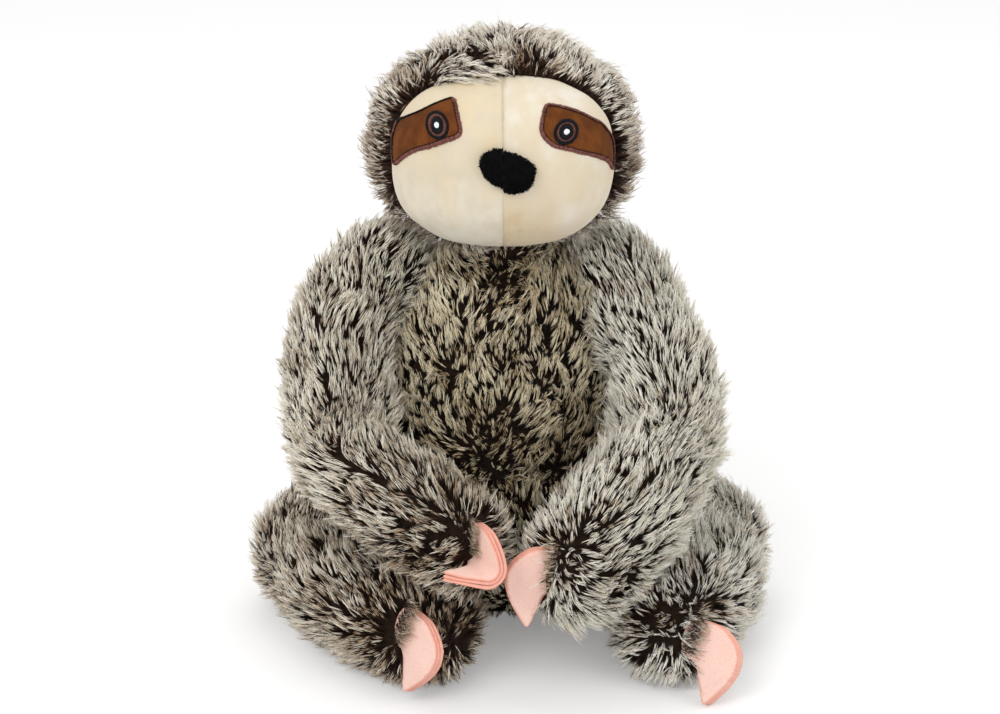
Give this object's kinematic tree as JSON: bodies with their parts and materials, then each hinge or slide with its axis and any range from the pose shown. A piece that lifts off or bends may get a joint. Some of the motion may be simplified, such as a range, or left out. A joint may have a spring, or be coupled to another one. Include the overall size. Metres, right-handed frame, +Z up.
{
  "type": "plush toy animal",
  "caption": "Seated long-pile plush sloth with a cream face, brown eye patches and felt claws; its head, arms and legs move.",
  "frame": {"origin": "on the surface it sits on, under the middle of the torso", "axes": "+Z up; -Y is the way the face looks; +X is on the right of someone who faces the toy"},
  "size_m": [0.3569, 0.2764, 0.406],
  "materials": {
    "frosted_fur": "long-pile plush, dark brown at the root and cream at the tip",
    "fibre_filling": "loose polyester fibre",
    "pellets": "cloth bag of plastic pellets",
    "cream_plush": "short-pile plush, pale cream",
    "peach_plush": "short-pile plush, warm cream",
    "saddle_velour": "short velour, saddle brown",
    "mauve_thread": "dense satin stitch, mauve brown",
    "black_thread": "embroidery, black",
    "brown_thread": "embroidery, dark brown",
    "white_thread": "embroidery, white",
    "black_plush": "short looped plush, black",
    "pink_felt": "felt, pale pink"
  },
  "bodies": {
    "torso": {"torso_skin": "frosted_fur", "torso_filling": "fibre_filling", "seat_pellet_pouch": "pellets"},
    "neck": {"neck_filling": "fibre_filling"},
    "head": {"head_skin": "frosted_fur", "head_filling": "fibre_filling", "face_panel_left": "cream_plush", "face_panel_right": "peach_plush", "eye_patch_left": "saddle_velour", "eye_patch_right": "saddle_velour", "patch_stitching_left": "mauve_thread", "patch_stitching_right": "mauve_thread", "eye_ring_left": "black_thread", "eye_iris_left": "brown_thread", "eye_pupil_left": "black_thread", "eye_highlight_left": "white_thread", "eye_ring_right": "black_thread", "eye_iris_right": "brown_thread", "eye_pupil_right": "black_thread", "eye_highlight_right": "white_thread", "nose_left": "black_plush", "nose_right": "black_plush"},
    "upper_arm_left": {"upper_arm_left_skin": "frosted_fur", "upper_arm_left_filling": "fibre_filling"},
    "forearm_left": {"forearm_left_skin": "frosted_fur", "forearm_left_filling": "fibre_filling"},
    "thigh_left": {"thigh_left_skin": "frosted_fur", "thigh_left_filling": "fibre_filling"},
    "lower_leg_left": {"lower_leg_left_skin": "frosted_fur", "lower_leg_left_filling": "fibre_filling"},
    "upper_arm_right": {"upper_arm_right_skin": "frosted_fur", "upper_arm_right_filling": "fibre_filling"},
    "forearm_right": {"forearm_right_skin": "frosted_fur", "forearm_right_filling": "fibre_filling"},
    "thigh_right": {"thigh_right_skin": "frosted_fur", "thigh_right_filling": "fibre_filling"},
    "lower_leg_right": {"lower_leg_right_skin": "frosted_fur", "lower_leg_right_filling": "fibre_filling"},
    "claws_hand_left": {"claw_hand_left_1": "pink_felt", "claw_hand_left_2": "pink_felt", "claw_hand_left_3": "pink_felt"},
    "claws_hand_right": {"claw_hand_right_1": "pink_felt", "claw_hand_right_2": "pink_felt", "claw_hand_right_3": "pink_felt"},
    "claws_foot_left": {"claw_foot_left_1": "pink_felt", "claw_foot_left_2": "pink_felt", "claw_foot_left_3": "pink_felt"},
    "claws_foot_right": {"claw_foot_right_1": "pink_felt", "claw_foot_right_2": "pink_felt", "claw_foot_right_3": "pink_felt"}
  },
  "joints": [
    {"name": "neck_turn", "type": "hinge", "parent": "torso", "child": "neck", "pos_m": [0, 0.005, 0.268], "axis": [0, 0, 1], "range_deg": [-45, 45]},
    {"name": "head_nod", "type": "hinge", "parent": "neck", "child": "head", "pos_m": [0, 0.005, 0.268], "axis": [1, 0, 0], "range_deg": [-15, 15], "stiffness_Nm_per_rad": 2},
    {"name": "shoulder_left", "type": "hinge", "parent": "torso", "child": "upper_arm_left", "pos_m": [-0.08, 0.005, 0.242], "axis": [-1, 0, 0], "range_deg": [0, 50]},
    {"name": "elbow_left", "type": "hinge", "parent": "upper_arm_left", "child": "forearm_left", "pos_m": [-0.10875, -0.06875, 0.1495], "axis": [-0.4813, -0.6149, -0.6247], "range_deg": [0, 40]},
    {"name": "hip_left", "type": "hinge", "parent": "torso", "child": "thigh_left", "pos_m": [-0.062, 0.005, 0], "axis": [0, 0, -1], "range_deg": [0, 30]},
    {"name": "knee_left", "type": "hinge", "parent": "thigh_left", "child": "lower_leg_left", "pos_m": [-0.13025, -0.028, 0.0415], "axis": [0, 0, -1], "range_deg": [0, 35]},
    {"name": "shoulder_right", "type": "hinge", "parent": "torso", "child": "upper_arm_right", "pos_m": [0.08, 0.005, 0.242], "axis": [-1, 0, 0], "range_deg": [0, 50]},
    {"name": "elbow_right", "type": "hinge", "parent": "upper_arm_right", "child": "forearm_right", "pos_m": [0.11125, -0.0775, 0.152], "axis": [-0.547, 0.5573, 0.6247], "range_deg": [0, 40]},
    {"name": "hip_right", "type": "hinge", "parent": "torso", "child": "thigh_right", "pos_m": [0.062, 0.005, 0], "axis": [0, 0, 1], "range_deg": [0, 30]},
    {"name": "knee_right", "type": "hinge", "parent": "thigh_right", "child": "lower_leg_right", "pos_m": [0.143, -0.016, 0.0415], "axis": [0, 0, 1], "range_deg": [0, 35]},
    {"name": "claws_hand_left", "type": "hinge", "parent": "forearm_left", "child": "claws_hand_left", "pos_m": [-0.01725, -0.1577, 0.12229], "axis": [0, 0, -1], "range_deg": [-15, 15], "stiffness_Nm_per_rad": 0.05},
    {"name": "claws_hand_right", "type": "hinge", "parent": "forearm_right", "child": "claws_hand_right", "pos_m": [0.03182, -0.16002, 0.10979], "axis": [0, -0.0872, -0.9962], "range_deg": [-15, 15], "stiffness_Nm_per_rad": 0.05},
    {"name": "claws_foot_left", "type": "hinge", "parent": "lower_leg_left", "child": "claws_foot_left", "pos_m": [-0.05891, -0.16031, 0.06524], "axis": [-0.3452, 0.0601, -0.9366], "range_deg": [-15, 15], "stiffness_Nm_per_rad": 0.05},
    {"name": "claws_foot_right", "type": "hinge", "parent": "lower_leg_right", "child": "claws_foot_right", "pos_m": [0.1302, -0.15791, 0.05759], "axis": [-0.2664, -0.1907, -0.9448], "range_deg": [-15, 15], "stiffness_Nm_per_rad": 0.05}
  ]
}
